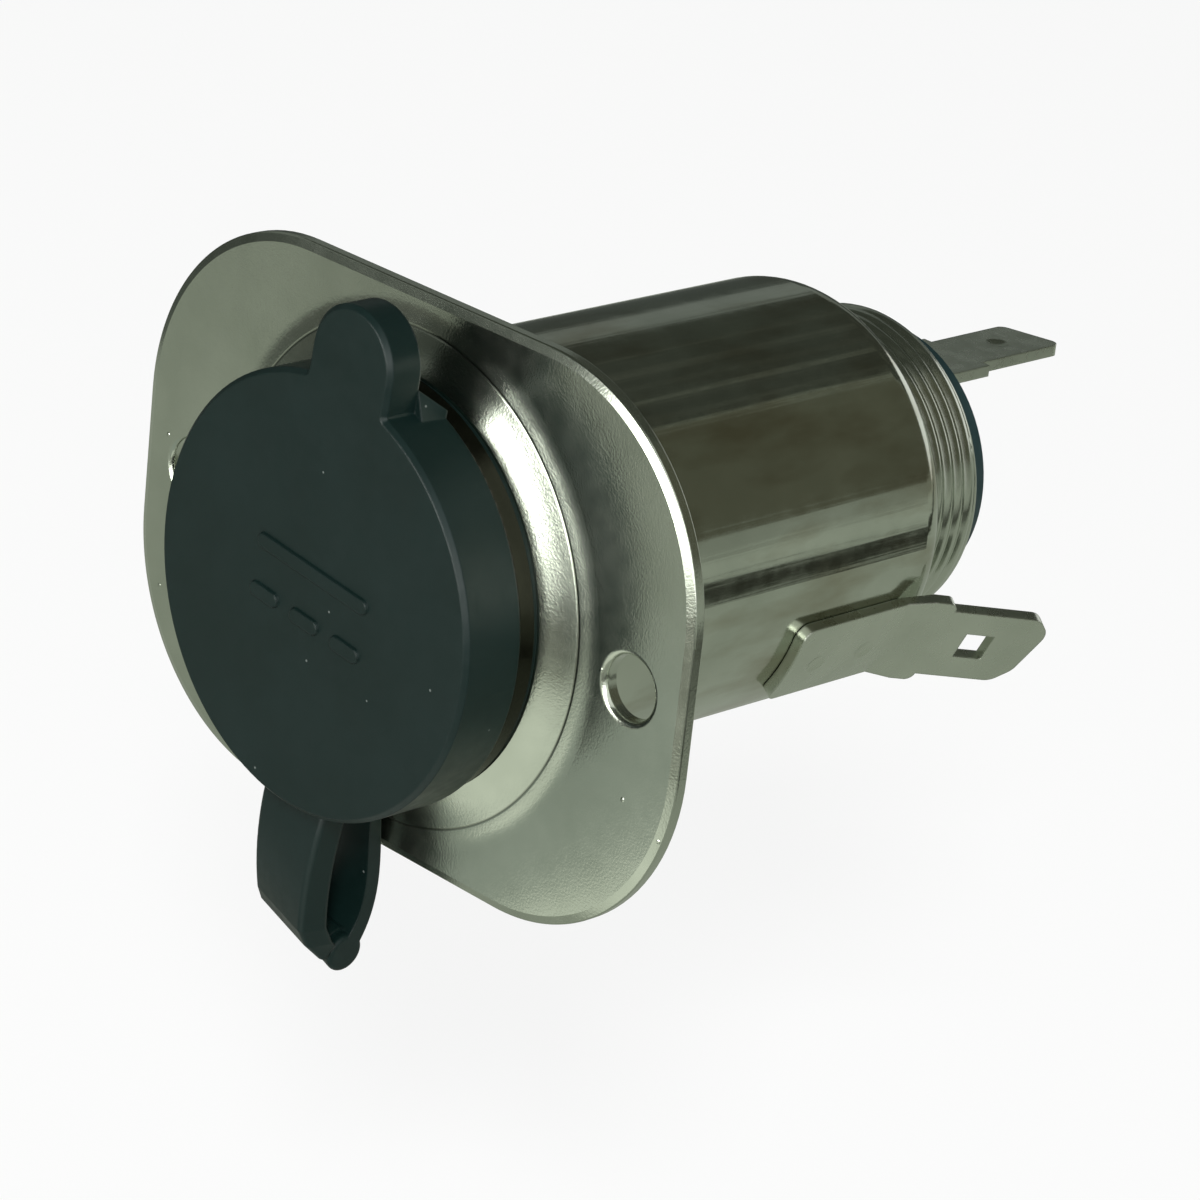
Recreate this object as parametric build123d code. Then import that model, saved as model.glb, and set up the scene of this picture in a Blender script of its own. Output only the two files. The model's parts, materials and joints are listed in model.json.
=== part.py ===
"""Car 12 V power socket: flanged metal well with a rubber cap on a folded strap.

Millimetres. Y runs along the socket with the wiring end at +Y, Z is up, and the origin is
where the axis meets the back face of the flange.
"""

from build123d import *
import os
from math import cos, radians, sin, tan

# Flange
PLATE_WIDTH = 51.0
PLATE_HEIGHT = 37.4
PLATE_CORNER_RADIUS = 14.4
PLATE_THICKNESS = 1.0
PLATE_EDGE_ROUND = 0.15
EDGE_ROLL_WIDTH = 0.6
EDGE_ROLL_DROP = 0.22
SCREW_HOLE_DIAMETER = 4.1
SCREW_HOLE_ROUND = 0.45
BOSS_RISE = 1.05
BOSS_RIM = 0.7
BOSS_BACK_STEP = 0.3
BOSS_FLARE = 0.09
DISH_WIDTH = 1.6
DISH_SLOPE = 12.0

# Clamping shell
SHELL_DIAMETER = 28.0
SHELL_WALL = 0.8
SHELL_LENGTH = 36.6
SHELL_SHOULDER_RADIUS = 2.5

# Well that takes the plug
BORE_DIAMETER = 21.0
WELL_WALL = 0.45
WELL_DEPTH = 44.9
WELL_FLOOR = 0.8
SEAT_STEP = 0.4
WELL_REAR_ROUND = 0.7
LIP_OVERHANG = 0.3
LIP_THICKNESS = 1.4
LIP_ROUND = 0.3
MOUTH_STEP = 0.4
MOUTH_RADIUS = 1.0

# Insulators, contact and rivet
REAR_INSULATOR_DIAMETER = 18.8
REAR_INSULATOR_THICKNESS = 2.2
REAR_INSULATOR_CHAMFER = 0.15
SPIGOT_DIAMETER = 8.2
INNER_INSULATOR_DIAMETER = 16.0
INNER_INSULATOR_THICKNESS = 1.0
CONTACT_DIAMETER = 11.0
CONTACT_SHEET = 0.6
CONTACT_RIM_HEIGHT = 1.4
RIVET_DIAMETER = 3.0
RIVET_HEAD_DIAMETER = 5.4
RIVET_HEAD_HEIGHT = 1.0
RIVET_HEAD_ROUND = 0.8

# Terminals, cut from one sheet thickness
TERMINAL_SHEET = 0.8
POSITIVE_STRIP_WIDTH = 6.2
POSITIVE_BLADE_WIDTH = 4.8
POSITIVE_BLADE_LENGTH = 8.5
POSITIVE_STRIP_LENGTH = 6.4
POSITIVE_BLADE_HEIGHT = 6.45
POSITIVE_FOOT_TAIL = 3.4
POSITIVE_TAIL_ROUND = 2.8
POSITIVE_TIP_SLANT = 1.1
POSITIVE_TIP_ROUND = 0.7
GROUND_ANGLE = 26.5
GROUND_STRIP_WIDTH = 6.5
GROUND_STRIP_FRONT = 21.8
GROUND_STRIP_LENGTH = 9.7
GROUND_BEND_LENGTH = 2.0
GROUND_BEND_ANGLE = 22.0
GROUND_SHOULDER_WIDTH = 7.4
GROUND_SHOULDER_LENGTH = 1.7
GROUND_BLADE_WIDTH = 6.1
GROUND_BLADE_LENGTH = 8.0
GROUND_TIP_CHAMFER = 1.2
GROUND_TIP_SLANT = 0.9
GROUND_TIP_ROUND = 1.3
GROUND_HOLE_SIDE = 2.2
GROUND_HOLE_FROM_TIP = 4.95
GROUND_DIMPLE_SPACING = 4.6
STRIP_CORNER_ROUND = 1.0
BEND_RADIUS = 0.8
DIMPLE_RADIUS = 0.8
DIMPLE_DEPTH = 0.2

# Rubber cap
CAP_CLOCK_ANGLE = 6.6
CAP_OVERHANG = 0.4
CAP_HEIGHT = 4.4
CAP_TOP_THICKNESS = 2.0
CAP_RIM_WALL = 1.8
CAP_EDGE_CHAMFER = 0.3
PLUG_LENGTH = 3.65
PLUG_WALL = 1.6
PLUG_END_ROUND = 0.5
TAB_WIDTH = 7.3
TAB_REACH = 5.3
TAB_THICKNESS = 2.5
TAB_FILLET = 0.2
GUSSET_HEIGHT = 1.1
GUSSET_FLARE = 0.9
GUSSET_BACK_DROP = 0.2

# Strap and its ring
RING_INSET = 0.2
RING_THICKNESS = 0.55
STRAP_WIDTH = 6.1
FRONT_LIMB_THICKNESS = 2.1
FRONT_LIMB_ROUND = 0.35
FRONT_LIMB_INSET = 2.05
FRONT_LIMB_BOW = 0.6
FRONT_LIMB_TWIST = 12.5
FOLD_RISE = 2.05
FOLD_SETBACK = 0.2
FOLD_SLOPE = 11.0
FOLD_EASING = 0.7
TOE_REACH = 2.1
REAR_LIMB_THICKNESS = 1.05
BEAD_DIAMETER = 2.85
BEAD_TIP_DIAMETER = 0.9
BEAD_END_ROUND = 0.3
BEAD_DROP = 11.6
BEAD_FORWARD = 0.6

# Fits
SLIP_CLEARANCE = 0.1
CAP_GAP = 0.15
PLUG_CLEARANCE = 0.4
PLUG_END_GAP = 0.3
SEAT_CLEARANCE = 0.8
BEAD_CLEARANCE = 0.12
WELD_GAP = 0.05

# Radii and stations along the axis that several pieces share
shell_r = SHELL_DIAMETER / 2
bore_r = BORE_DIAMETER / 2
well_r = bore_r + WELL_WALL
well_hole_r = well_r + SLIP_CLEARANCE
mouth_r = bore_r + MOUTH_STEP
mouth_hole_r = mouth_r + WELL_WALL + SLIP_CLEARANCE
boss_top_r = shell_r - SLIP_CLEARANCE
ring_r = boss_top_r - RING_INSET
lip_r = ring_r + LIP_OVERHANG
cap_r = lip_r + CAP_OVERHANG
rivet_r = RIVET_DIAMETER / 2
bead_r = BEAD_DIAMETER / 2
plate_front_y = -PLATE_THICKNESS
shell_seat_y = -BOSS_RISE
boss_top_y = plate_front_y - BOSS_RISE
lip_back_y = boss_top_y - RING_THICKNESS
lip_front_y = lip_back_y - LIP_THICKNESS
cap_back_y = lip_front_y - CAP_GAP
cap_front_y = cap_back_y - CAP_HEIGHT
plug_end_y = cap_back_y + PLUG_LENGTH
mouth_floor_y = plug_end_y + PLUG_END_GAP
floor_y = lip_front_y + WELL_DEPTH
well_rear_y = floor_y + WELL_FLOOR
insulator_rear_y = well_rear_y + REAR_INSULATOR_THICKNESS
contact_back_y = floor_y - INNER_INSULATOR_THICKNESS
contact_front_y = contact_back_y - CONTACT_SHEET
seat_y = contact_front_y - RIVET_HEAD_HEIGHT - SEAT_CLEARANCE
bead_y = boss_top_y - BEAD_FORWARD
bead_z = -(cap_r + BEAD_DROP)


def turned(*points):
    """Solid turned about the Y axis from a closed outline of (radius, y) points."""
    outline = make_face(Polyline(*points, close=True))
    return revolve(outline, Axis.Y)


def disc(radius, y_from, y_to):
    """Cylinder on the Y axis between two stations."""
    return turned((0, y_from), (radius, y_from), (radius, y_to), (0, y_to))


def rim_edges(part, radius, y):
    """Circular edges of a given radius at a given station."""
    circles = part.edges().filter_by(GeomType.CIRCLE)
    return [e for e in circles if abs(e.radius - radius) < 1e-4 and abs(e.center().Y - y) < 1e-4]


def clocked(part):
    """A piece drawn with its tab straight up, turned to where the cap is fitted."""
    return Rot(0, CAP_CLOCK_ANGLE, 0) * part


def face_plate():
    """Stamped flange: die-rolled edge, flared boss that runs out in a shallow dish, two screw holes."""
    boss_foot_r = PLATE_HEIGHT / 2 - BOSS_RIM
    dish_width = min(DISH_WIDTH, (boss_foot_r - boss_top_r) / 2)
    crease_r = boss_foot_r - dish_width
    crease_y = plate_front_y - dish_width * tan(radians(DISH_SLOPE / 2))
    recess_r = shell_r + SLIP_CLEARANCE
    recess_foot_r = crease_r + BOSS_BACK_STEP
    roll_y = plate_front_y + EDGE_ROLL_DROP
    outline = RectangleRounded(PLATE_WIDTH, PLATE_HEIGHT, PLATE_CORNER_RADIUS)
    blank = extrude(Plane.XZ * outline, PLATE_THICKNESS)
    front = blank.faces().sort_by(Axis.Y)[0]
    blank = chamfer(front.edges(), EDGE_ROLL_WIDTH, EDGE_ROLL_DROP, reference=front)
    outline_edges = blank.edges().filter_by(Axis.Y, reverse=True)
    blank = fillet([e for e in outline_edges if e.center().Y > roll_y - 1e-4], PLATE_EDGE_ROUND)
    foot = Vector(boss_foot_r, plate_front_y)
    crease = Vector(crease_r, crease_y)
    top = Vector(boss_top_r, boss_top_y)
    inward = (top - crease).normalized().rotate(Axis.Z, -90)
    boss = Polyline(top, (0, boss_top_y), (0, 0), (boss_foot_r, 0), foot)
    boss += TangentArc(foot, crease, tangent=(-1, 0))
    boss += ThreePointArc(crease, (crease + top) / 2 + inward * BOSS_FLARE, top)
    plate = blank + revolve(make_face(boss), Axis.Y)
    plate -= turned((0, 0), (recess_foot_r, 0), (recess_r, shell_seat_y), (0, shell_seat_y))
    plate -= disc(mouth_hole_r, boss_top_y, 0)
    spare = PLATE_WIDTH / 2 - EDGE_ROLL_WIDTH - boss_foot_r - SCREW_HOLE_DIAMETER
    hole_round = min(SCREW_HOLE_ROUND, spare / 5)
    screw_x = boss_foot_r + SCREW_HOLE_DIAMETER / 2 + spare / 4
    for side in (-1, 1):
        hole = Plane.XZ * Pos(side * screw_x, 0) * Circle(SCREW_HOLE_DIAMETER / 2)
        plate -= extrude(hole, PLATE_THICKNESS)
    return fillet(rim_edges(plate, SCREW_HOLE_DIAMETER / 2, plate_front_y), hole_round)


def clamp_shell():
    """Drawn sleeve, open in front, with a rounded shoulder and a hole onto the well's thread."""
    rear_y = shell_seat_y + SHELL_LENGTH
    inner_r = shell_r - SHELL_WALL
    outside = disc(shell_r, shell_seat_y, rear_y)
    outside = fillet(rim_edges(outside, shell_r, rear_y), SHELL_SHOULDER_RADIUS)
    inside = disc(inner_r, shell_seat_y, rear_y - SHELL_WALL)
    inside = fillet(rim_edges(inside, inner_r, rear_y - SHELL_WALL), SHELL_SHOULDER_RADIUS - SHELL_WALL)
    return outside - inside - disc(well_hole_r, shell_seat_y, rear_y)


def socket_well():
    """Plug well: flared lip, mouth widened for the cap's plug, bore, stepped seat and pierced floor."""
    step_y = mouth_floor_y + WELL_WALL
    tube = turned(
        (0, lip_back_y),
        (mouth_r + WELL_WALL, lip_back_y),
        (mouth_r + WELL_WALL, step_y),
        (well_r, step_y + MOUTH_STEP),
        (well_r, well_rear_y),
        (0, well_rear_y),
    )
    tube = fillet(rim_edges(tube, well_r, well_rear_y), WELL_REAR_ROUND)
    lip = disc(lip_r, lip_front_y, lip_back_y)
    lip = fillet(rim_edges(lip, lip_r, lip_front_y), LIP_ROUND)
    bore = turned(
        (0, lip_front_y),
        (mouth_r, lip_front_y),
        (mouth_r, mouth_floor_y),
        (bore_r, mouth_floor_y + MOUTH_STEP),
        (bore_r, seat_y),
        (0, seat_y),
    )
    well = tube + lip - bore
    well -= disc(bore_r - SEAT_STEP, seat_y, floor_y)
    well -= disc(SPIGOT_DIAMETER / 2 + SLIP_CLEARANCE, floor_y, well_rear_y)
    mouth_round = min(MOUTH_RADIUS, (lip_r - mouth_r) / 2)
    return fillet(rim_edges(well, mouth_r, lip_front_y), mouth_round)


def rear_insulator():
    """Moulded disc on the well's rear, with a spigot through the floor."""
    rim_r = REAR_INSULATOR_DIAMETER / 2
    body = disc(rim_r, well_rear_y, insulator_rear_y)
    body = chamfer(rim_edges(body, rim_r, insulator_rear_y), REAR_INSULATOR_CHAMFER)
    body += disc(SPIGOT_DIAMETER / 2, floor_y, well_rear_y)
    return body - disc(rivet_r + SLIP_CLEARANCE, floor_y, insulator_rear_y)


def inner_insulator():
    """Fibre washer between the well's floor and the contact."""
    washer = disc(INNER_INSULATOR_DIAMETER / 2, contact_back_y, floor_y)
    return washer - disc(rivet_r + SLIP_CLEARANCE, contact_back_y, floor_y)


def centre_contact():
    """Shallow dished contact that meets the plug's tip."""
    contact_r = CONTACT_DIAMETER / 2
    rim_y = contact_back_y - CONTACT_RIM_HEIGHT
    cup = disc(contact_r, rim_y, contact_back_y)
    cup -= disc(contact_r - CONTACT_SHEET, rim_y, contact_front_y)
    cup = fillet(rim_edges(cup, contact_r, contact_back_y), CONTACT_SHEET / 2)
    return cup - disc(rivet_r + SLIP_CLEARANCE, contact_front_y, contact_back_y)


def centre_rivet():
    """Rivet through contact, insulators and the positive terminal's foot."""
    head_r = RIVET_HEAD_DIAMETER / 2
    front_y = contact_front_y
    rear_y = insulator_rear_y + TERMINAL_SHEET
    shank = disc(rivet_r, front_y, rear_y)
    front_end_y = front_y - RIVET_HEAD_HEIGHT
    rear_end_y = rear_y + RIVET_HEAD_HEIGHT
    front_head = disc(head_r, front_end_y, front_y)
    front_head = fillet(rim_edges(front_head, head_r, front_end_y), RIVET_HEAD_ROUND)
    rear_head = disc(head_r, rear_y, rear_end_y)
    rear_head = fillet(rim_edges(rear_head, head_r, rear_end_y), RIVET_HEAD_ROUND)
    return shank + front_head + rear_head


def dimple(surface_z):
    """Shallow round press mark, as the ball that cuts it out of a sheet's upper face."""
    ball_r = (DIMPLE_RADIUS**2 + DIMPLE_DEPTH**2) / (2 * DIMPLE_DEPTH)
    return Pos(0, 0, surface_z + ball_r - DIMPLE_DEPTH) * Sphere(ball_r)


def positive_terminal():
    """Riveted foot bent into a blade that points to the rear."""
    foot_y = insulator_rear_y
    shoulder_y = foot_y + POSITIVE_STRIP_LENGTH
    tip_y = shoulder_y + POSITIVE_BLADE_LENGTH
    top_z = POSITIVE_BLADE_HEIGHT
    under_z = top_z - TERMINAL_SHEET
    section = make_face(
        Polyline(
            (foot_y, -POSITIVE_FOOT_TAIL),
            (foot_y + TERMINAL_SHEET, -POSITIVE_FOOT_TAIL),
            (foot_y + TERMINAL_SHEET, under_z),
            (tip_y, under_z),
            (tip_y, top_z),
            (foot_y, top_z),
            close=True,
        )
    )
    outer_corner = section.vertices().sort_by_distance((foot_y, top_z))[0]
    section = fillet(outer_corner, BEND_RADIUS + TERMINAL_SHEET)
    inner_corner = section.vertices().sort_by_distance((foot_y + TERMINAL_SHEET, under_z))[0]
    section = fillet(inner_corner, BEND_RADIUS)
    strip = extrude(Plane.YZ * section, POSITIVE_STRIP_WIDTH / 2, both=True)
    side_cut = (POSITIVE_STRIP_WIDTH - POSITIVE_BLADE_WIDTH) / 2
    for side in (-1, 1):
        notch = Box(side_cut, POSITIVE_BLADE_LENGTH, TERMINAL_SHEET)
        across = side * (POSITIVE_BLADE_WIDTH + side_cut) / 2
        strip -= Pos(across, (shoulder_y + tip_y) / 2, (top_z + under_z) / 2) * notch
    half = POSITIVE_BLADE_WIDTH / 2
    slant = Polyline((-half, tip_y - POSITIVE_TIP_SLANT), (half, tip_y), (-half, tip_y), close=True)
    strip -= Pos(0, 0, under_z) * extrude(make_face(slant), TERMINAL_SHEET)
    tip_edges = strip.edges().filter_by(Axis.Z).sort_by(Axis.Y)[-2:]
    strip = fillet(tip_edges, POSITIVE_TIP_ROUND)
    tail_edges = strip.edges().filter_by(Axis.Y).group_by(Axis.Z)[0]
    strip = fillet(tail_edges, POSITIVE_TAIL_ROUND)
    strip -= disc(rivet_r + SLIP_CLEARANCE, foot_y, foot_y + TERMINAL_SHEET)
    return strip - Pos(0, (shoulder_y + tip_y) / 2, 0) * dimple(top_z)


def saddle_section(y):
    """Cut across the ground strip where it is curved to sit on the shell, middle at the top."""
    inner_r = shell_r + WELD_GAP
    outer_r = inner_r + TERMINAL_SHEET
    half = GROUND_STRIP_WIDTH / (inner_r + outer_r)
    across = Plane((0, y, 0), x_dir=(1, 0, 0), z_dir=(0, -1, 0))
    outer_left, outer_right = [(side * outer_r * sin(half), outer_r * cos(half)) for side in (-1, 1)]
    inner_left, inner_right = [(side * inner_r * sin(half), inner_r * cos(half)) for side in (-1, 1)]
    outline = ThreePointArc(outer_left, (0, outer_r), outer_right) + Line(outer_right, inner_right)
    outline += ThreePointArc(inner_right, (0, inner_r), inner_left) + Line(inner_left, outer_left)
    return across * make_face(outline)


def ground_terminal():
    """Strip welded to the shell's side, flattened and bent outward to a blade with a square hole."""
    bend_y = GROUND_STRIP_FRONT + GROUND_STRIP_LENGTH
    reach = GROUND_SHOULDER_LENGTH + GROUND_BLADE_LENGTH
    rise = GROUND_BEND_LENGTH * tan(radians(GROUND_BEND_ANGLE / 2))
    outer_z = shell_r + WELD_GAP + TERMINAL_SHEET
    saddle = extrude(saddle_section(bend_y), GROUND_STRIP_LENGTH)
    front_edges = saddle.edges().filter_by(GeomType.LINE).group_by(Axis.Y)[0]
    saddle = fillet(front_edges, STRIP_CORNER_ROUND)
    blade_frame = Pos(0, bend_y + GROUND_BEND_LENGTH, outer_z + rise) * Rot(GROUND_BEND_ANGLE, 0, 0)
    sheet_end = Rot(90, 0, 0) * Rectangle(GROUND_SHOULDER_WIDTH, TERMINAL_SHEET)
    sheet_end = Pos(0, 0, -TERMINAL_SHEET / 2) * sheet_end
    bend = loft([saddle_section(bend_y), blade_frame * sheet_end])
    wide = Pos(0, GROUND_SHOULDER_LENGTH / 2) * Rectangle(GROUND_SHOULDER_WIDTH, GROUND_SHOULDER_LENGTH)
    shoulders = wide.vertices().group_by(Axis.Y)[-1]
    wide = fillet(shoulders, (GROUND_SHOULDER_WIDTH - GROUND_BLADE_WIDTH) / 2)
    blade_half = GROUND_BLADE_WIDTH / 2
    blade_outline = Polyline(
        (-blade_half, 0),
        (blade_half, 0),
        (blade_half, reach - GROUND_TIP_CHAMFER - GROUND_TIP_SLANT),
        (blade_half - GROUND_TIP_CHAMFER, reach - GROUND_TIP_SLANT),
        (GROUND_TIP_CHAMFER - blade_half, reach),
        (-blade_half, reach - GROUND_TIP_CHAMFER),
        close=True,
    )
    blade = make_face(blade_outline)
    tip_corners = [v for v in blade.vertices() if v.Y > GROUND_SHOULDER_LENGTH]
    blade = fillet(tip_corners, GROUND_TIP_ROUND)
    hole = Pos(0, reach - GROUND_HOLE_FROM_TIP) * Rectangle(GROUND_HOLE_SIDE, GROUND_HOLE_SIDE)
    strip = saddle + bend + blade_frame * extrude(wide + blade - hole, -TERMINAL_SHEET)
    strip_middle_y = GROUND_STRIP_FRONT + GROUND_STRIP_LENGTH / 2
    for side in (-1, 1):
        strip -= Pos(0, strip_middle_y + side * GROUND_DIMPLE_SPACING / 2, 0) * dimple(outer_z)
    return Rot(0, 90 + GROUND_ANGLE, 0) * strip


def cap_ring():
    """Ring clamped under the well's lip, with the strap's rear limb and the bead at its fold."""
    ring = disc(ring_r, lip_back_y, boss_top_y) - disc(mouth_hole_r, lip_back_y, boss_top_y)
    root_z = -(ring_r + mouth_hole_r) / 2
    plate_edge_z = -PLATE_HEIGHT / 2
    back = [
        (boss_top_y, root_z),
        (boss_top_y, -(lip_r + SLIP_CLEARANCE)),
        (plate_front_y - 2 * SLIP_CLEARANCE, plate_edge_z),
        (plate_front_y + SLIP_CLEARANCE, (plate_edge_z + bead_z) / 2),
        (bead_y + bead_r / 2, bead_z),
    ]
    front = [(y - REAR_LIMB_THICKNESS, z) for y, z in back]
    front[:2] = [(lip_back_y, z) for y, z in back[:2]]
    front[-1] = (bead_y - bead_r / 4, bead_z + bead_r / 2)
    outline = Polyline(back[0], back[1]) + Spline(*back[1:]) + Line(back[-1], front[-1])
    outline += Spline(*front[:0:-1]) + Polyline(front[1], front[0], back[0])
    limb = extrude(Plane.YZ * make_face(outline), STRAP_WIDTH / 2, both=True)
    bead = Rot(0, 90, 0) * Cone(BEAD_TIP_DIAMETER / 2, bead_r, STRAP_WIDTH)
    bead = fillet(bead.edges().filter_by(GeomType.CIRCLE), BEAD_END_ROUND)
    return clocked(ring + limb + Pos(0, bead_y, bead_z) * bead)


def limb_section(y, z, thickness, twist, slope=0):
    """Cut across the front limb, with the middle of its outer face at y."""
    band = Pos(0, thickness / 2) * RectangleRounded(STRAP_WIDTH, thickness, FRONT_LIMB_ROUND)
    return Pos(0, y, z) * Rot(0, slope, 0) * Rot(0, 0, -twist) * band


def front_limb():
    """Strap from the cap's rim down to the bead, bowed out and twisting towards its eased fold."""
    root_y = cap_front_y + FRONT_LIMB_INSET
    root_z = -(cap_r - CAP_RIM_WALL / 2)
    fold_y = root_y + FOLD_SETBACK
    fold_z = bead_z + FOLD_RISE
    toe_y = bead_y - TOE_REACH
    toe_z = bead_z + STRAP_WIDTH / 2 * sin(radians(FOLD_SLOPE))
    last = 1 - FOLD_EASING / (root_z - fold_z)
    sections = []
    for share in (0, last / 3, 2 * last / 3, last):
        y = root_y + FOLD_SETBACK * share - FRONT_LIMB_BOW * 4 * share * (1 - share)
        z = root_z + (fold_z - root_z) * share
        sections.append(limb_section(y, z, FRONT_LIMB_THICKNESS, FRONT_LIMB_TWIST * share))
    past = FOLD_EASING / ((toe_y - fold_y) ** 2 + (toe_z - fold_z) ** 2) ** 0.5
    eased = limb_section(
        fold_y + (toe_y - fold_y) * past,
        fold_z + (toe_z - fold_z) * past,
        FRONT_LIMB_THICKNESS,
        FRONT_LIMB_TWIST * (1 - past),
        FOLD_SLOPE * past,
    )
    toe = limb_section(toe_y, toe_z, TOE_REACH, 0, FOLD_SLOPE)
    limb = loft(sections) + loft([sections[-1], eased, toe], ruled=True)
    eye = Cylinder(bead_r + BEAD_CLEARANCE, STRAP_WIDTH * 2)
    return limb - Pos(0, bead_y, bead_z) * Rot(0, 90, 0) * eye


def gusset():
    """Wedge that stiffens the tab, from the tab's back down to the cap's rear edge."""
    tab_back_y = cap_front_y + TAB_THICKNESS
    foot_z = cap_r - CAP_RIM_WALL / 2
    foot_x = TAB_WIDTH / 2 + GUSSET_FLARE
    crest_z = cap_r + GUSSET_HEIGHT
    low_z = cap_r - GUSSET_BACK_DROP
    foot = [(-foot_x, foot_z), (foot_x, foot_z)]
    tall = Polyline(*foot, (TAB_WIDTH / 2, crest_z), (-TAB_WIDTH / 2, crest_z), close=True)
    low = Polyline(*foot, (foot_x, low_z), (-foot_x, low_z), close=True)
    plane_front = Plane((0, tab_back_y, 0), x_dir=(1, 0, 0), z_dir=(0, -1, 0))
    plane_back = Plane((0, cap_back_y, 0), x_dir=(1, 0, 0), z_dir=(0, -1, 0))
    return loft([plane_front * make_face(tall), plane_back * make_face(low)], ruled=True)


def cap():
    """Rubber cover: face with pull tab, hollow plug, rim and the strap's front limb."""
    tab_centre_z = cap_r + TAB_REACH - TAB_WIDTH / 2
    tab = Pos(0, tab_centre_z / 2) * Rectangle(TAB_WIDTH, tab_centre_z)
    tab += Pos(0, tab_centre_z) * Circle(TAB_WIDTH / 2)
    face = Circle(cap_r) + tab
    necks = [v for v in face.vertices() if abs((v.X**2 + v.Y**2) ** 0.5 - cap_r) < 1e-3]
    face = fillet(necks, TAB_FILLET)
    face_plane = Plane((0, cap_front_y, 0), x_dir=(1, 0, 0), z_dir=(0, -1, 0))
    slab = extrude(face_plane * face, -TAB_THICKNESS)
    front_face = slab.faces().sort_by(Axis.Y)[0]
    slab = chamfer(front_face.edges(), CAP_EDGE_CHAMFER)
    plug_r = mouth_r - PLUG_CLEARANCE
    under_y = cap_front_y + CAP_TOP_THICKNESS
    plug = disc(plug_r, under_y, plug_end_y)
    plug = fillet(rim_edges(plug, plug_r, plug_end_y), PLUG_END_ROUND)
    body = slab + disc(cap_r, cap_front_y + TAB_THICKNESS, cap_back_y) + gusset() + front_limb()
    body -= disc(cap_r - CAP_RIM_WALL, under_y, cap_back_y)
    body += plug
    body -= disc(plug_r - PLUG_WALL, under_y, plug_end_y)
    return clocked(body)


PIECES = (
    face_plate,
    clamp_shell,
    socket_well,
    rear_insulator,
    inner_insulator,
    centre_contact,
    centre_rivet,
    positive_terminal,
    ground_terminal,
    cap_ring,
    cap,
)

os.makedirs("parts", exist_ok=True)
for piece in PIECES:
    export_step(piece(), os.path.join("parts", piece.__name__ + ".step"))
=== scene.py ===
"""Looks of the car 12 V power socket: finishes, thread, sign, strap fold, studio and camera. Metres."""

import json
import math

import bpy
from mathutils import Matrix, Vector


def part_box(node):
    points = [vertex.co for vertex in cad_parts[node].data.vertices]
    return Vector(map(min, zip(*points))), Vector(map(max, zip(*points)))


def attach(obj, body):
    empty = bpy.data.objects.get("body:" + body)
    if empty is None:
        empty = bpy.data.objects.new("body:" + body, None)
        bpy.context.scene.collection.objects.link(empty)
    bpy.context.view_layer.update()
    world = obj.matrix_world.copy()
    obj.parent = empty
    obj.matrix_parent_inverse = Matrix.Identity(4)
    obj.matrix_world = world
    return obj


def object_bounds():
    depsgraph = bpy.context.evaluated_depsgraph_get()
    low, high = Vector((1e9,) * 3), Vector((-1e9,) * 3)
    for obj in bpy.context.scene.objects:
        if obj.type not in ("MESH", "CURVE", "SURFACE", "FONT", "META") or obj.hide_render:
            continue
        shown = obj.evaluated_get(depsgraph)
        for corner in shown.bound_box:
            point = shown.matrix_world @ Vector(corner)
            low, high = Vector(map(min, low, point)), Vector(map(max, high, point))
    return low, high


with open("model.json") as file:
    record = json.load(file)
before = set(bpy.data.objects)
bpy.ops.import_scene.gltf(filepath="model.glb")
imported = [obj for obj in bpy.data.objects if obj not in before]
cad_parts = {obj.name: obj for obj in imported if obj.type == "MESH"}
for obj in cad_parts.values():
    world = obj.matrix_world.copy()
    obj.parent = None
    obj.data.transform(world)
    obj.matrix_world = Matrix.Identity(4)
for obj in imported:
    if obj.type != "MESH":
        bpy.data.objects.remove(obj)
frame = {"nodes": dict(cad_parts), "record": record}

CAD_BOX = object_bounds()
MM = 0.001
OUT = Vector((0, -1, 0))

# Camera, fitted to the photograph
CAMERA_AZIMUTH = 43.77
CAMERA_ELEVATION = 21.80
CAMERA_ROLL = 6.38
CAMERA_DISTANCE = 297.73 * MM
CAMERA_TARGET = Vector((8.786, 8.181, -0.427)) * MM
CAMERA_LENS = 141.66
CAMERA_SENSOR = 36.0
CAMERA_CLIP = (0.01, 20.0)

# Floor, low enough for the open cap to hang over it, and world
FLOOR_DROP = 45.0 * MM
FLOOR_SIZE = 6.0
FLOOR_COLOUR = (0.93, 0.935, 0.93)
FLOOR_ROUGHNESS = 0.9
FLOOR_GLOW = 0.8
WORLD_LIGHT = (0.55, 0.56, 0.55)
WHITE = (1, 1, 1)

# Cards that only reflections see
CARD_GAP = 0.3 * MM
CARD_LIFT = 0.3 * MM
CARD_FRONT = -1.0
CARD_BACK = 1.4
CARD_RADIUS = 0.5
CARD_STEP_ANGLE = 5
SIDE_CARD_FRONT = 0.05

# Cards just below the object: name, span along X, span along Y and colour
TABLE_CARDS = (
    ("table_card", (-0.147, 0.068), (CARD_FRONT, CARD_BACK), (0.345, 0.372, 0.32)),
    ("back_table_card", (-1.0, -0.147), (CARD_FRONT, CARD_BACK), (0.08, 0.09, 0.08)),
    ("table_edge_card", (0.068, 0.110), (CARD_FRONT, CARD_BACK), (0.03, 0.032, 0.024)),
    ("far_table_card", (0.110, 0.6), (CARD_FRONT, CARD_BACK), (0.38, 0.41, 0.355)),
)

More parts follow.
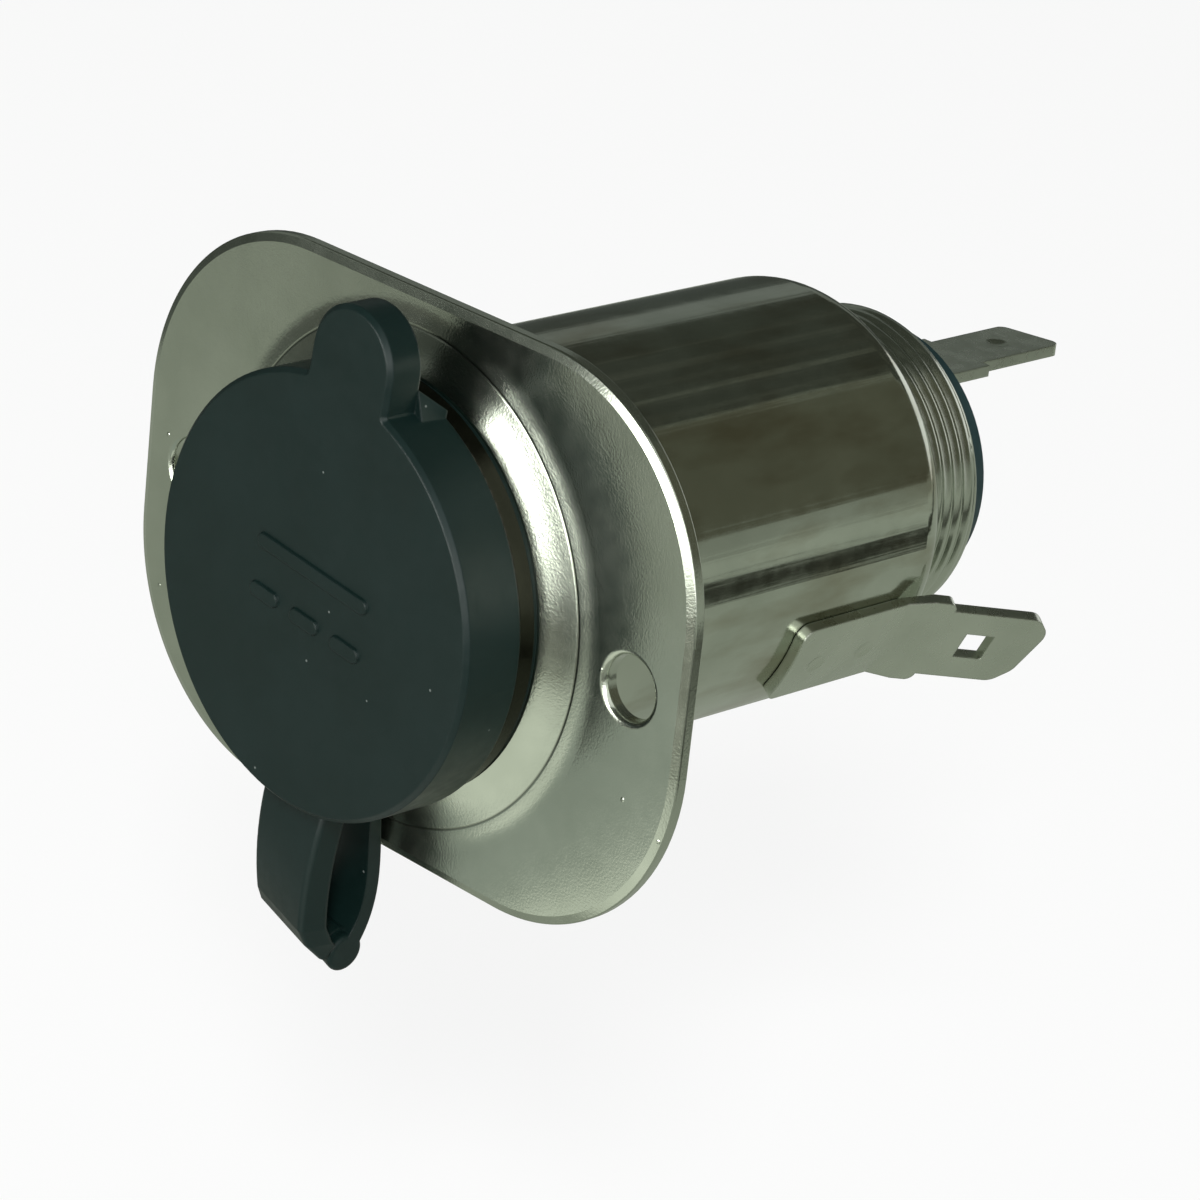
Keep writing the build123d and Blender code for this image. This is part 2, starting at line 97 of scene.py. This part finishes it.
# Cards lifted over those, which shade the flange, in the same terms
PATCH_CARDS = (
    ("front_patch_card", (-0.001, 0.024), (-0.052, -0.009), (0.86, 0.90, 0.80)),
    ("left_patch_card", (-0.030, -0.001), (-0.060, -0.009), (0.355, 0.395, 0.355)),
    ("front_shade_card", (0.002, 0.060), (-0.150, -0.052), (0.14, 0.145, 0.115)),
    ("front_table_card", (-0.080, 0.002), (-0.150, -0.101), (0.6, 0.63, 0.57)),
    ("top_shade_card", (-0.104, -0.060), (-0.100, -0.084), (0.05, 0.048, 0.036)),
    ("bright_table_card", (-0.10, 0.060), (CARD_FRONT, -0.165), (1.9, 1.92, 1.85)),
    ("left_table_card", (-1.0, -0.10), (CARD_FRONT, -0.140), (0.10, 0.105, 0.09)),
)

# Upright cards: name, span along X, place along Y, height of the top and colour
STANDING_CARDS = (
    ("left_card", (-1.4, -0.40), -0.8, 0.7, (0.08, 0.085, 0.075)),
    ("front_card", (-0.30, 0.50), -0.82, 0.30, (6.0, 6.1, 5.8)),
)

# Cards bent round the socket's axis: name, angles from +X towards +Z, front end and colour
CURVED_CARDS = (
    ("side_card", (-4, 9), SIDE_CARD_FRONT, (0.27, 0.29, 0.25)),
    ("low_card", (9, 70), SIDE_CARD_FRONT, (0.104, 0.104, 0.076)),
    ("top_card", (70, 140), CARD_FRONT, (0.05, 0.055, 0.045)),
    ("window_card", (140, 160), CARD_FRONT, (0.19, 0.205, 0.19)),
    ("back_card", (160, 184), CARD_FRONT, (0.06, 0.068, 0.06)),
)

# Strips inside the bent cards, which streak the sleeve: first angle, last angle and brightness
SLEEVE_STRIPS = (
    (69, 71, 0.23),
    (76, 77, 0.12),
    (87, 89, 0.15),
    (96, 97, 0.10),
    (105, 108, 0.085),
    (118, 120, 0.09),
)
SLEEVE_STRIP_RADIUS = 0.498
SLEEVE_STRIP_TINT = (0.95, 1.0, 0.82)

# Lamps aimed at the origin: name, place, size, power and whether the metal mirrors them
SOFTBOXES = (
    ("front_softbox", (-0.1, -0.8, 0.1), (0.42, 0.24), 1.3, True),
    ("key_softbox", (0.67, -0.72, 0.69), (0.2, 0.2), 9.0, False),
    ("rim_softbox", (0.75, -0.8, 0.15), (0.5, 0.5), 2.1, True),
)

# Thread on the well behind the sleeve, its profile in shares of pitch and height
WELL_RIM = 1.55 * MM
THREAD_PITCH = 1.0 * MM
THREAD_HEIGHT = 0.18 * MM
THREAD_SINK = 0.02 * MM
THREAD_PROFILE = ((-0.5, 0.0), (-0.2, 0.75), (0.0, 1.0), (0.2, 0.75), (0.5, 0.0))
THREAD_TURNS = 4.6
THREAD_FADE_TURNS = 0.5
THREAD_START_GAP = 0.44 * MM
THREAD_STEPS_PER_TURN = 96

# Direct-current sign on the cap's face
MARK_LENGTH = 10.6 * MM
MARK_STROKE = 1.1 * MM
MARK_LINES = 3.4 * MM
MARK_GAP = 1.1 * MM
MARK_RISE = 0.2 * MM
MARK_DRAFT = 0.1 * MM
MARK_SINK = 0.02 * MM
MARK_END_STEPS = 10

# Rubber web in the strap's fold, between the ring's bead and the cap's front limb
FOLD_WIDTH = 6.1 * MM
FOLD_SLOPE = 11.0
BEAD_THICK_R = 1.41 * MM
BEAD_THIN_R = 0.44 * MM
WEB_REACH = 1.6 * MM
WEB_SPAN = (-2.97 * MM, 2.3 * MM)
WEB_STATIONS = 40
WEB_STEPS = 12

# Noise values that count as its lows and highs, and the solid core of a speck
NOISE_LOW = 0.35
NOISE_HIGH = 0.65
SPECK_CORE = 0.6

# Places of the colour sockets on Blender's mix node
MIX_BELOW = 6
MIX_ABOVE = 7
MIX_RESULT = 2

# Plating
NICKEL_DARK = (0.50, 0.54, 0.455)
NICKEL_LIGHT = (0.57, 0.61, 0.52)
PLATING_CLOUD = 7.0 * MM
PLATING_SHEEN = 1.2 * MM
PLATING_GRAIN = 0.16 * MM

# Flange, with the crease where its cone runs out, which painted shade darkens
FLANGE_ROUGHNESS = (0.2, 0.24)
FLANGE_GRAIN_DEPTH = 0.009 * MM
GRIT_SPACING = 2.6 * MM
GRIT_RADIUS = 0.16 * MM
GRIT_SHARE = 0.5
GRIT_HEIGHT = 0.03 * MM
CREASE_INSET = 2.3 * MM
CREASE_HALF_WIDTH = 0.13 * MM
CREASE_DEPTH = 0.02 * MM
# Painted shade: how strongly the crease line is darkened, and towards which colour
CREASE_SHADE_DARKNESS = 0.75
CREASE_SHADE_COLOUR = (0.10, 0.11, 0.085)
CREASE_EASE_WIDTH = 1.4 * MM
CREASE_EASE_HEIGHT = 0.07 * MM

# Sleeve, with draw marks along its axis: size, noise detail, stretch and depth
SLEEVE_ROUGHNESS = (0.1, 0.15)
SLEEVE_GRAIN_DEPTH = 0.0015 * MM
PATCH_SIZE = 3.0 * MM
PATCH_STRETCH = (1, 3, 1)
PATCH_NOISE = (0.46, 0.72)
PATCH_DARKNESS = 0.6
PATCH_COLOUR = (0.28, 0.25, 0.16)
DRAW_MARKS = (
    (0.5 * MM, 3.0, (1, 60, 1), 0.008 * MM),
    (1.5 * MM, 2.0, (1, 25, 1), 0.02 * MM),
    (3.0 * MM, 1.0, (1, 60, 1), 0.03 * MM),
)

# Well, with painted shade on its lip and the marks of turning
WELL_ROUGHNESS = (0.16, 0.24)
LIP_DEPTH = 1.5 * MM
LIP_EDGE = 0.3 * MM
# Painted shade on the lip, which sits between the cap and the flange's cone
LIP_SHADE_DARKNESS = 0.95
LIP_SHADE_COLOUR = (0.025, 0.023, 0.015)
TURNING_SIZE = 0.4 * MM
TURNING_STRETCH = (20, 1, 20)
TURNING_DEPTH = 0.003 * MM

# Tinned terminals
TIN_DARK = (0.56, 0.60, 0.51)
TIN_LIGHT = (0.64, 0.68, 0.585)
TIN_ROUGHNESS = (0.24, 0.34)
TIN_GRAIN = 0.2 * MM
TIN_GRAIN_DEPTH = 0.003 * MM
TIN_WAVE = 1.6 * MM
TIN_WAVE_DEPTH = 0.012 * MM
TIN_EDGE = 0.2 * MM

# Rubber
RUBBER_DARK = (0.0037, 0.0118, 0.0103)
RUBBER_LIGHT = (0.0048, 0.0138, 0.0125)
RUBBER_ROUGHNESS = (0.33, 0.4)
RUBBER_MEAN_ROUGHNESS = 0.36
RUBBER_SPECULAR = 0.27
RUBBER_BLOOM = 6.0 * MM
RUBBER_SHEEN = 0.8 * MM
RUBBER_GRAIN = 0.2 * MM
RUBBER_GRAIN_DEPTH = 0.0015 * MM
RUBBER_EDGE = 0.18 * MM
DUST = (0.12, 0.14, 0.13)
DUST_SPACING = 1.9 * MM
DUST_RADIUS = 0.11 * MM
DUST_SHARE = 0.35

# Plain finishes inside the socket and behind it
PLAIN_CLOUD = 4.0 * MM
PLAIN_SHEEN = 1.0 * MM
PLAIN_GRAIN = 0.2 * MM
PLAIN_GRAIN_DEPTH = 0.002 * MM
BRASS_DARK = (0.55, 0.42, 0.18)
BRASS_LIGHT = (0.70, 0.56, 0.28)
BRASS_ROUGHNESS = (0.2, 0.35)
INSULATOR_DARK = (0.008, 0.024, 0.026)
INSULATOR_LIGHT = (0.013, 0.034, 0.036)
INSULATOR_ROUGHNESS = (0.3, 0.45)
FIBRE_DARK = (0.10, 0.04, 0.02)
FIBRE_LIGHT = (0.17, 0.07, 0.035)
FIBRE_ROUGHNESS = (0.6, 0.8)


def new_finish(name, metallic, roughness, specular=0.5):
    """A material, its node tree and its shader."""
    material = bpy.data.materials.new(name)
    material.use_nodes = True
    tree = material.node_tree
    shader = tree.nodes["Principled BSDF"]
    shader.inputs["Metallic"].default_value = metallic
    shader.inputs["Roughness"].default_value = roughness
    shader.inputs["Specular IOR Level"].default_value = specular
    return material, tree, shader


def wire(tree, value, socket):
    """Sets a socket, or links it where the value is a socket too."""
    if isinstance(value, bpy.types.NodeSocket):
        tree.links.new(value, socket)
    else:
        socket.default_value = value


def add_node(tree, kind, **inputs):
    """A node with some of its inputs set. Underscores stand for spaces."""
    made = tree.nodes.new(kind)
    for name, value in inputs.items():
        wire(tree, value, made.inputs[name.replace("_", " ")])
    return made


def combine(tree, operation, *values):
    """Result of one sum on values or sockets."""
    made = tree.nodes.new("ShaderNodeMath")
    made.operation = operation
    for socket, value in zip(made.inputs, values):
        wire(tree, value, socket)
    return made.outputs[0]


def position(tree):
    """Place in the part's frame, which object coordinates give."""
    return add_node(tree, "ShaderNodeTexCoord").outputs["Object"]


def coordinates(tree, stretch=(1, 1, 1)):
    """Place in the part's frame, shrunk along each axis by its stretch."""
    shrink = tuple(1 / s for s in stretch)
    return add_node(tree, "ShaderNodeMapping", Vector=position(tree), Scale=shrink).outputs[0]


def noise(tree, size, detail=3.0, stretch=(1, 1, 1)):
    """Noise whose features are about one size across."""
    where = coordinates(tree, stretch)
    made = add_node(tree, "ShaderNodeTexNoise", Vector=where, Scale=1 / size, Detail=detail)
    return made.outputs["Fac"]


def graded(tree, value, low, high, start=NOISE_LOW, end=NOISE_HIGH, kind="LINEAR"):
    """A value mapped from start and end to low and high, and held outside them."""
    span = {"From_Min": start, "From_Max": end, "To_Min": low, "To_Max": high}
    made = add_node(tree, "ShaderNodeMapRange", Value=value, **span)
    made.interpolation_type = kind
    return made.outputs["Result"]


def tinted(tree, value, dark, light, start=NOISE_LOW, end=NOISE_HIGH):
    """A colour between two, by a value."""
    ramp = add_node(tree, "ShaderNodeValToRGB", Fac=value)
    for element, place, colour in zip(ramp.color_ramp.elements, (start, end), (dark, light)):
        element.position = place
        element.color = (*colour, 1)
    return ramp.outputs["Color"]


def mixed(tree, share, below, above):
    """A colour over another, by a share."""
    made = tree.nodes.new("ShaderNodeMix")
    made.data_type = "RGBA"
    wire(tree, share, made.inputs["Factor"])
    for place, colour in ((MIX_BELOW, below), (MIX_ABOVE, above)):
        plain_colour = not isinstance(colour, bpy.types.NodeSocket)
        wire(tree, (*colour, 1) if plain_colour else colour, made.inputs[place])
    return made.outputs[MIX_RESULT]


def specks(tree, spacing, radius, share):
    """Mask of small round specks in a share of the cells of a lattice."""
    cells = add_node(tree, "ShaderNodeTexVoronoi", Vector=coordinates(tree), Scale=1 / spacing)
    core = SPECK_CORE * radius / spacing
    near = graded(tree, cells.outputs["Distance"], 1, 0, core, radius / spacing)
    draw = add_node(tree, "ShaderNodeSeparateColor", Color=cells.outputs["Color"]).outputs["Red"]
    return combine(tree, "MULTIPLY", near, combine(tree, "LESS_THAN", draw, share))


def axis_distance(tree):
    """Distance from the socket's axis."""
    parts = add_node(tree, "ShaderNodeSeparateXYZ", Vector=position(tree))
    across = combine(tree, "POWER", parts.outputs["X"], 2.0)
    up = combine(tree, "POWER", parts.outputs["Z"], 2.0)
    return combine(tree, "SQRT", combine(tree, "ADD", across, up))


def ring_line(tree, radius, half_width):
    """Mask of a thin circle round the socket's axis."""
    off = combine(tree, "ABSOLUTE", combine(tree, "SUBTRACT", axis_distance(tree), radius))
    return graded(tree, off, 1, 0, 0, half_width)


def relief(tree, shader, *layers, edge=None):
    """Bump layers, each a height value with its depth in metres, over edges softened to a radius."""
    below = None
    if edge:
        below = add_node(tree, "ShaderNodeBevel", Radius=edge).outputs["Normal"]
    for height, depth in layers:
        bump = add_node(tree, "ShaderNodeBump", Height=height, Distance=depth, Strength=1.0)
        if below:
            tree.links.new(below, bump.inputs["Normal"])
        below = bump.outputs["Normal"]
    tree.links.new(below, shader.inputs["Normal"])


def plated(name, roughness, dark=NICKEL_DARK, light=NICKEL_LIGHT):
    """Bright plating: its material, tree, shader and faintly clouded colour."""
    material, tree, shader = new_finish(name, 1.0, roughness[0])
    colour = tinted(tree, noise(tree, PLATING_CLOUD), dark, light)
    sheen = graded(tree, noise(tree, PLATING_SHEEN, detail=4.0), *roughness)
    tree.links.new(colour, shader.inputs["Base Color"])
    tree.links.new(sheen, shader.inputs["Roughness"])
    return material, tree, shader, colour


def flange_nickel():
    """Plating over stamped sheet: sandy grain, a little grit and the fine line where the cone runs out,
    darkened with painted shade.
    """
    material, tree, shader, colour = plated("flange_nickel", FLANGE_ROUGHNESS)
    crease_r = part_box("face_plate")[1].z - CREASE_INSET
    ease_r = crease_r + CREASE_EASE_WIDTH
    crease = ring_line(tree, crease_r, CREASE_HALF_WIDTH)
    ease = graded(tree, axis_distance(tree), 1, 0, crease_r, ease_r, "SMOOTHSTEP")
    grit = specks(tree, GRIT_SPACING, GRIT_RADIUS, GRIT_SHARE)
    # Painted shade: the crease line is darkened in the base colour
    shade = mixed(tree, combine(tree, "MULTIPLY", crease, CREASE_SHADE_DARKNESS), colour, CREASE_SHADE_COLOUR)
    tree.links.new(shade, shader.inputs["Base Color"])
    relief(
        tree,
        shader,
        (ease, CREASE_EASE_HEIGHT),
        (noise(tree, PLATING_GRAIN, detail=2.0), FLANGE_GRAIN_DEPTH),
        (grit, GRIT_HEIGHT),
        (crease, -CREASE_DEPTH),
    )
    return material


def sleeve_nickel():
    """Plating over a drawn sleeve: dull brown patches, fine grain and long draw marks along the axis."""
    material, tree, shader, colour = plated("sleeve_nickel", SLEEVE_ROUGHNESS)
    cloud = noise(tree, PATCH_SIZE, detail=4.0, stretch=PATCH_STRETCH)
    patches = graded(tree, cloud, 0, PATCH_DARKNESS, *PATCH_NOISE)
    tree.links.new(mixed(tree, patches, colour, PATCH_COLOUR), shader.inputs["Base Color"])
    layers = [(noise(tree, PLATING_GRAIN, detail=2.0), SLEEVE_GRAIN_DEPTH)]
    for size, detail, stretch, depth in DRAW_MARKS:
        layers.append((noise(tree, size, detail, stretch), depth))
    relief(tree, shader, *layers)
    return material


def well_nickel():
    """Plating on the well, turned, so its faint marks run round it, with painted shade darkening its lip.
    """
    material, tree, shader, colour = plated("well_nickel_plate", WELL_ROUGHNESS)
    along = add_node(tree, "ShaderNodeSeparateXYZ", Vector=position(tree)).outputs["Y"]
    lip_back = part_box("socket_well")[0].y + LIP_DEPTH
    # Painted shade: the lip between the cap and the flange's cone is darkened in the base colour
    lip_shade = graded(tree, along, LIP_SHADE_DARKNESS, 0, lip_back, lip_back + LIP_EDGE)
    tree.links.new(mixed(tree, lip_shade, colour, LIP_SHADE_COLOUR), shader.inputs["Base Color"])
    marks = noise(tree, TURNING_SIZE, detail=2.0, stretch=TURNING_STRETCH)
    relief(tree, shader, (marks, TURNING_DEPTH))
    return material


def terminal_tin():
    """Tinned strip with sheared edges and dull handling marks."""
    material, tree, shader, _ = plated("terminal_tin", TIN_ROUGHNESS, TIN_DARK, TIN_LIGHT)
    grain = noise(tree, TIN_GRAIN, detail=2.0)
    waves = noise(tree, TIN_WAVE, detail=2.0)
    relief(tree, shader, (grain, TIN_GRAIN_DEPTH), (waves, TIN_WAVE_DEPTH), edge=TIN_EDGE)
    return material


def rubber(name):
    """Black moulded rubber with a faint bloom, a matt grain and a little dust."""
    material, tree, shader = new_finish(name, 0.0, RUBBER_MEAN_ROUGHNESS, RUBBER_SPECULAR)
    bloom = tinted(tree, noise(tree, RUBBER_BLOOM), RUBBER_DARK, RUBBER_LIGHT)
    dusty = mixed(tree, specks(tree, DUST_SPACING, DUST_RADIUS, DUST_SHARE), bloom, DUST)
    sheen = graded(tree, noise(tree, RUBBER_SHEEN, detail=4.0), *RUBBER_ROUGHNESS)
    tree.links.new(dusty, shader.inputs["Base Color"])
    tree.links.new(sheen, shader.inputs["Roughness"])
    relief(tree, shader, (noise(tree, RUBBER_GRAIN), RUBBER_GRAIN_DEPTH), edge=RUBBER_EDGE)
    return material


def plain(name, dark, light, metallic, roughness):
    """A finish with clouded colour and roughness and a fine grain."""
    material, tree, shader = new_finish(name, metallic, roughness[0])
    tree.links.new(tinted(tree, noise(tree, PLAIN_CLOUD), dark, light), shader.inputs["Base Color"])
    tree.links.new(graded(tree, noise(tree, PLAIN_SHEEN), *roughness), shader.inputs["Roughness"])
    relief(tree, shader, (noise(tree, PLAIN_GRAIN), PLAIN_GRAIN_DEPTH))
    return material


def dress(node, material):
    """Gives a solid its finish."""
    mesh = frame["nodes"][node].data
    mesh.materials.clear()
    mesh.materials.append(material)


def add_mesh(name, points, faces, smooth):
    """An object made of points and faces."""
    mesh = bpy.data.meshes.new(name)
    mesh.from_pydata(points, [], faces)
    mesh.polygons.foreach_set("use_smooth", [smooth] * len(faces))
    mesh.update()
    made = bpy.data.objects.new(name, mesh)
    bpy.context.scene.collection.objects.link(made)
    return made


def ring_faces(start, count):
    """Faces between a closed ring of points and the ring that follows it."""
    faces = []
    for step in range(count):
        low = start + step
        after = start + (step + 1) % count
        faces.append((low, after, after + count, low + count))
    return faces


def hinge():
    """Centre of the cap's hinge, its axis and the cap's own upward direction."""
    joint = frame["record"]["behaviour"]["joints"][0]
    right = Vector(joint["axis"])
    return Vector(joint["pos_m"]), right, OUT.cross(right)


def well_thread(material):
    """Fine thread on the well, a ridge that rises and dies away at its first and last turn."""
    root_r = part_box("rear_insulator")[1].x + WELL_RIM
    start_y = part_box("clamp_shell")[1].y + THREAD_START_GAP
    steps = round(THREAD_TURNS * THREAD_STEPS_PER_TURN)
    points = []
    for step in range(steps + 1):
        turn = step / THREAD_STEPS_PER_TURN
        fade = min(1.0, turn / THREAD_FADE_TURNS, (THREAD_TURNS - turn) / THREAD_FADE_TURNS)
        angle = 2 * math.pi * turn
        for along, rise in THREAD_PROFILE:
            r = root_r - THREAD_SINK + THREAD_HEIGHT * rise * fade
            y = start_y + THREAD_PITCH * (turn + 0.5 + along)
            points.append((r * math.cos(angle), y, r * math.sin(angle)))
    wide = len(THREAD_PROFILE)
    faces = []
    for step in range(steps):
        for side in range(wide - 1):
            low = step * wide + side
            faces.append((low, low + wide, low + wide + 1, low + 1))
    thread = add_mesh("well_thread", points, faces, smooth=True)
    thread.data.materials.append(material)
    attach(thread, "socket_body")


def current_mark(material):
    """Raised sign for direct current on the cap's face: a bar over three dashes with round ends."""
    _, right, up = hinge()
    face = Vector((0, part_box("cap")[0].y, 0))
    dash = (MARK_LENGTH - 2 * MARK_GAP) / 3
    strokes = [(0, MARK_LINES / 2, MARK_LENGTH)]
    strokes += [(place * (dash + MARK_GAP), -MARK_LINES / 2, dash) for place in (-1, 0, 1)]
    count = 2 * MARK_END_STEPS
    points = []
    faces = []
    for x, z, length in strokes:
        start = len(points)
        for inset, rise in ((0, -MARK_SINK), (MARK_DRAFT, MARK_RISE)):
            radius = MARK_STROKE / 2 - inset
            for side in (1, -1):
                end_x = x + side * (length - MARK_STROKE) / 2
                for step in range(MARK_END_STEPS):
                    angle = math.pi * (step / (MARK_END_STEPS - 1) - side / 2)
                    along = right * (end_x + radius * math.cos(angle))
                    points.append(face + along + up * (z + radius * math.sin(angle)) + OUT * rise)
        faces += ring_faces(start, count)
        faces.append(tuple(range(start + count, start + 2 * count)))
    mark = add_mesh("current_mark", points, faces, smooth=False)
    mark.data.materials.append(material)
    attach(mark, "cap_body")


def fold_web(material):
    """Rubber round the strap's bead that joins it to the cap's front limb at every angle of the swing."""
    centre, right, up = hinge()
    first_x, last_x = WEB_SPAN
    points = []
    for station in range(WEB_STATIONS):
        x = first_x + (last_x - first_x) * station / (WEB_STATIONS - 1)
        bead_r = BEAD_THIN_R + (BEAD_THICK_R - BEAD_THIN_R) * (x / FOLD_WIDTH + 0.5)
        limb_end = (FOLD_WIDTH / 2 - x) * math.tan(math.radians(FOLD_SLOPE))
        limb_angle = math.acos(limb_end / WEB_REACH)
        tangent_angle = math.acos(bead_r / WEB_REACH)
        bead_angle = 2 * math.pi - limb_angle - 2 * tangent_angle
        arcs = ((WEB_REACH, 0, limb_angle), (bead_r, limb_angle + tangent_angle, bead_angle))
        for radius, start, sweep in arcs:
            for step in range(WEB_STEPS):
                angle = start + sweep * step / (WEB_STEPS - 1)
                away = OUT * math.sin(angle) + up * math.cos(angle)
                points.append(centre + right * x + away * radius)
    count = 2 * WEB_STEPS
    last = (WEB_STATIONS - 1) * count
    faces = [tuple(reversed(range(count)))]
    for start in range(0, last, count):
        faces += ring_faces(start, count)
    faces.append(tuple(range(last, last + count)))
    web = add_mesh("fold_web", points, faces, smooth=False)
    web.data.materials.append(material)
    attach(web, "cap_body")


def emitter(name, colour):
    """A plain glowing material."""
    material = bpy.data.materials.new(name)
    material.use_nodes = True
    tree = material.node_tree
    tree.nodes.remove(tree.nodes["Principled BSDF"])
    glow = add_node(tree, "ShaderNodeEmission", Color=(*colour, 1), Strength=1.0)
    tree.links.new(glow.outputs[0], tree.nodes["Material Output"].inputs["Surface"])
    return material


def add_card(name, points, faces, colour):
    """A glowing card that reflections show and that neither lights nor shades anything."""
    card = add_mesh(name, points, faces, smooth=False)
    card.data.materials.append(emitter(name, colour))
    card.visible_camera = False
    card.visible_diffuse = False
    card.visible_transmission = False
    card.visible_shadow = False


def curved_card(name, angles, front, colour, radius=CARD_RADIUS):
    """Long card bent round the socket's axis between two angles, from +X towards +Z."""
    start, end = angles
    steps = max(2, round((end - start) / CARD_STEP_ANGLE))
    points = []
    for step in range(steps + 1):
        angle = math.radians(start + (end - start) * step / steps)
        for y in (front, CARD_BACK):
            points.append((radius * math.cos(angle), y, radius * math.sin(angle)))
    faces = [(2 * s, 2 * s + 1, 2 * s + 3, 2 * s + 2) for s in range(steps)]
    add_card(name, points, faces, colour)


def level_card(name, x_span, y_span, z, colour):
    """Card that lies level."""
    left, right = x_span
    front, back = y_span
    points = [(left, front, z), (right, front, z), (right, back, z), (left, back, z)]
    add_card(name, points, [(0, 1, 2, 3)], colour)


def standing_card(name, x_span, y, z_span, colour):
    """Upright card across the socket's axis."""
    left, right = x_span
    low, high = z_span
    points = [(left, y, low), (right, y, low), (right, y, high), (left, y, high)]
    add_card(name, points, [(0, 1, 2, 3)], colour)


def softbox(name, place, size, power, mirrored):
    """Area lamp aimed at the origin, seen in reflections or not."""
    lamp = bpy.data.lights.new(name, "AREA")
    lamp.shape = "RECTANGLE"
    lamp.size, lamp.size_y = size
    lamp.energy = power
    made = bpy.data.objects.new(name, lamp)
    made.location = place
    made.rotation_euler = (-Vector(place)).to_track_quat("-Z", "Y").to_euler()
    made.visible_glossy = mirrored
    bpy.context.scene.collection.objects.link(made)


def seen_rays(tree):
    """Share of 1 for rays that show the background: from the camera, a mirror or glass."""
    path = add_node(tree, "ShaderNodeLightPath").outputs
    mirrored = combine(tree, "MAXIMUM", path["Is Glossy Ray"], path["Is Transmission Ray"])
    return combine(tree, "MAXIMUM", path["Is Camera Ray"], mirrored)


def paper_floor(z):
    """Pale floor that shows nearly white and keeps the object's shadow."""
    half = FLOOR_SIZE / 2
    corners = [(-half, -half, z), (half, -half, z), (half, half, z), (-half, half, z)]
    floor = add_mesh("floor", corners, [(0, 1, 2, 3)], smooth=False)
    material, tree, shader = new_finish("floor_paper", 0.0, FLOOR_ROUGHNESS, 0.0)
    shader.inputs["Base Color"].default_value = (*FLOOR_COLOUR, 1)
    glow = add_node(tree, "ShaderNodeEmission", Color=(*WHITE, 1), Strength=1.0)
    blend = tree.nodes.new("ShaderNodeMixShader")
    tree.links.new(combine(tree, "MULTIPLY", seen_rays(tree), FLOOR_GLOW), blend.inputs["Fac"])
    tree.links.new(shader.outputs[0], blend.inputs[1])
    tree.links.new(glow.outputs[0], blend.inputs[2])
    tree.links.new(blend.outputs[0], tree.nodes["Material Output"].inputs["Surface"])
    floor.data.materials.append(material)


def white_world():
    """World that shows white and lights the object at a plain level."""
    world = bpy.data.worlds.new("studio")
    bpy.context.scene.world = world
    world.use_nodes = True
    tree = world.node_tree
    colour = tinted(tree, seen_rays(tree), WORLD_LIGHT, WHITE, 0.0, 1.0)
    tree.links.new(colour, tree.nodes["Background"].inputs["Color"])


def studio():
    """Pale floor, white world, the cards that the metal reflects and soft lamps."""
    low_z = CAD_BOX[0][2]
    paper_floor(low_z - FLOOR_DROP)
    white_world()

    table_z = low_z - CARD_GAP
    for name, x_span, y_span, colour in TABLE_CARDS:
        level_card(name, x_span, y_span, table_z, colour)
    for name, x_span, y_span, colour in PATCH_CARDS:
        level_card(name, x_span, y_span, table_z + CARD_LIFT, colour)
    for name, x_span, y, top_z, colour in STANDING_CARDS:
        standing_card(name, x_span, y, (table_z, top_z), colour)
    for name, angles, front, colour in CURVED_CARDS:
        curved_card(name, angles, front, colour)
    for start, end, level in SLEEVE_STRIPS:
        glow = [level * share for share in SLEEVE_STRIP_TINT]
        curved_card(f"strip_card_{start}", (start, end), SIDE_CARD_FRONT, glow, SLEEVE_STRIP_RADIUS)

    for name, place, size, power, mirrored in SOFTBOXES:
        softbox(name, place, size, power, mirrored)


def camera():
    """Camera at the photograph's place, with its roll."""
    turn = Matrix.Rotation(math.radians(CAMERA_AZIMUTH), 4, "Z")
    turn @= Matrix.Rotation(math.radians(90 - CAMERA_ELEVATION), 4, "X")
    turn @= Matrix.Rotation(math.radians(CAMERA_ROLL), 4, "Z")
    back = turn.to_3x3() @ Vector((0, 0, 1))
    lens = bpy.data.cameras.new("camera")
    lens.lens = CAMERA_LENS
    lens.sensor_width = CAMERA_SENSOR
    lens.clip_start, lens.clip_end = CAMERA_CLIP
    made = bpy.data.objects.new("camera", lens)
    made.matrix_world = Matrix.Translation(CAMERA_TARGET + CAMERA_DISTANCE * back) @ turn
    bpy.context.scene.collection.objects.link(made)
    bpy.context.scene.camera = made


def dress_all():
    """Finishes of every solid, and the small pieces that only show."""
    well = well_nickel()
    brass = plain("brass", BRASS_DARK, BRASS_LIGHT, 1.0, BRASS_ROUGHNESS)
    plastic = plain("insulator_plastic", INSULATOR_DARK, INSULATOR_LIGHT, 0.0, INSULATOR_ROUGHNESS)
    tin = terminal_tin()
    cap = rubber("cap_rubber_moulded")
    dress("face_plate", flange_nickel())
    dress("clamp_shell", sleeve_nickel())
    dress("socket_well", well)
    dress("rear_insulator", plastic)
    dress("inner_insulator", plain("fibre", FIBRE_DARK, FIBRE_LIGHT, 0.0, FIBRE_ROUGHNESS))
    dress("centre_contact", brass)
    dress("centre_rivet", brass)
    dress("positive_terminal", tin)
    dress("ground_terminal", tin)
    dress("cap_ring", rubber("ring_rubber_moulded"))
    dress("cap", cap)
    well_thread(well)
    current_mark(cap)
    fold_web(cap)


bpy.context.scene.view_settings.view_transform = "Standard"
dress_all()
studio()
camera()
